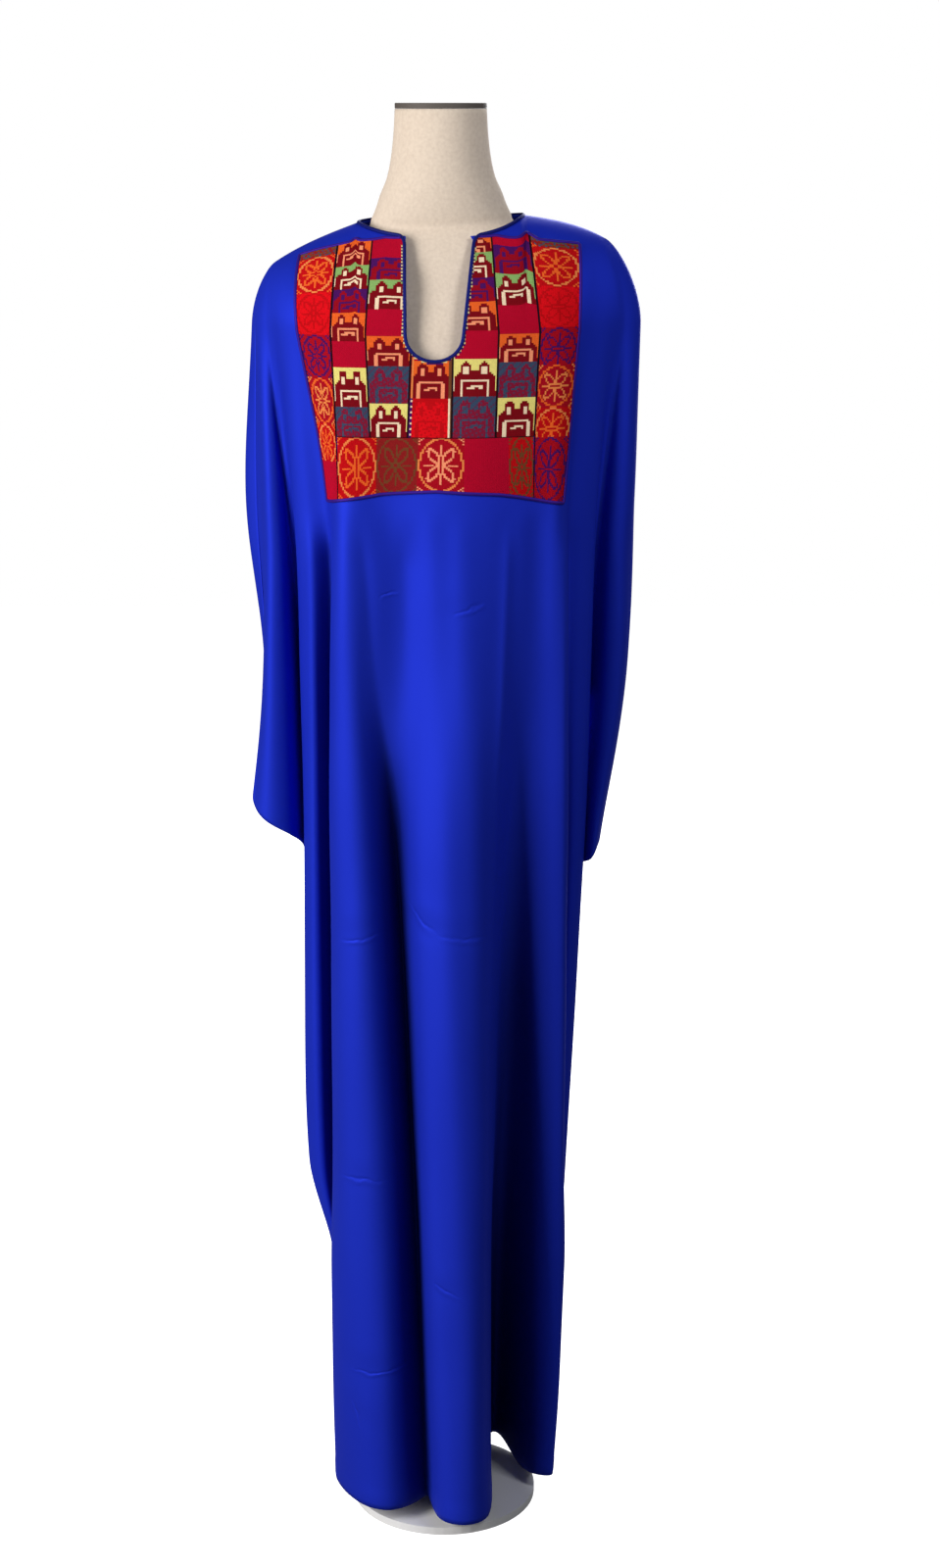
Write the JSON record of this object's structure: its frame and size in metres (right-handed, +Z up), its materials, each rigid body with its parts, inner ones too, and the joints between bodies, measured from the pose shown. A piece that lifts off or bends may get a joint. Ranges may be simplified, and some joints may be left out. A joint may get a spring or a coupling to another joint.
{
  "type": "butterfly-sleeve abaya on a limbless dress form",
  "caption": "Full-length loose robe of satin crepe with wing sleeves cut in one, a patchwork embroidered chest yoke and a U-shaped neck slit, worn by a linen dress form on a round base",
  "frame": {"origin": "centre of the underside of the round base, on the floor", "axes": "+Z up, +X to the right of the front view, the front of the robe faces -Y"},
  "size_m": [0.4475, 0.2747, 1.68],
  "materials": {
    "front_panel": "satin crepe",
    "back_panel": "satin crepe",
    "yoke_side_left": "cross-stitch embroidery",
    "yoke_left": "cross-stitch embroidery",
    "yoke_centre": "cross-stitch embroidery",
    "yoke_right": "cross-stitch embroidery",
    "yoke_side_right": "cross-stitch embroidery",
    "yoke_bottom": "cross-stitch embroidery",
    "yoke_piping": "satin cord",
    "neck_binding": "satin binding",
    "form_body": "plain linen",
    "neck_cap": "dark stained",
    "pole_collar": "white powder coat",
    "pole": "white powder coat",
    "base": "white powder coat"
  },
  "bodies": {
    "root": {"front_panel": "front_panel", "back_panel": "back_panel", "yoke_side_left": "yoke_side_left", "yoke_left": "yoke_left", "yoke_centre": "yoke_centre", "yoke_right": "yoke_right", "yoke_side_right": "yoke_side_right", "yoke_bottom": "yoke_bottom", "yoke_piping": "yoke_piping", "neck_binding": "neck_binding", "form_body": "form_body", "neck_cap": "neck_cap", "pole_collar": "pole_collar", "pole": "pole", "base": "base"}
  },
  "joints": []
}
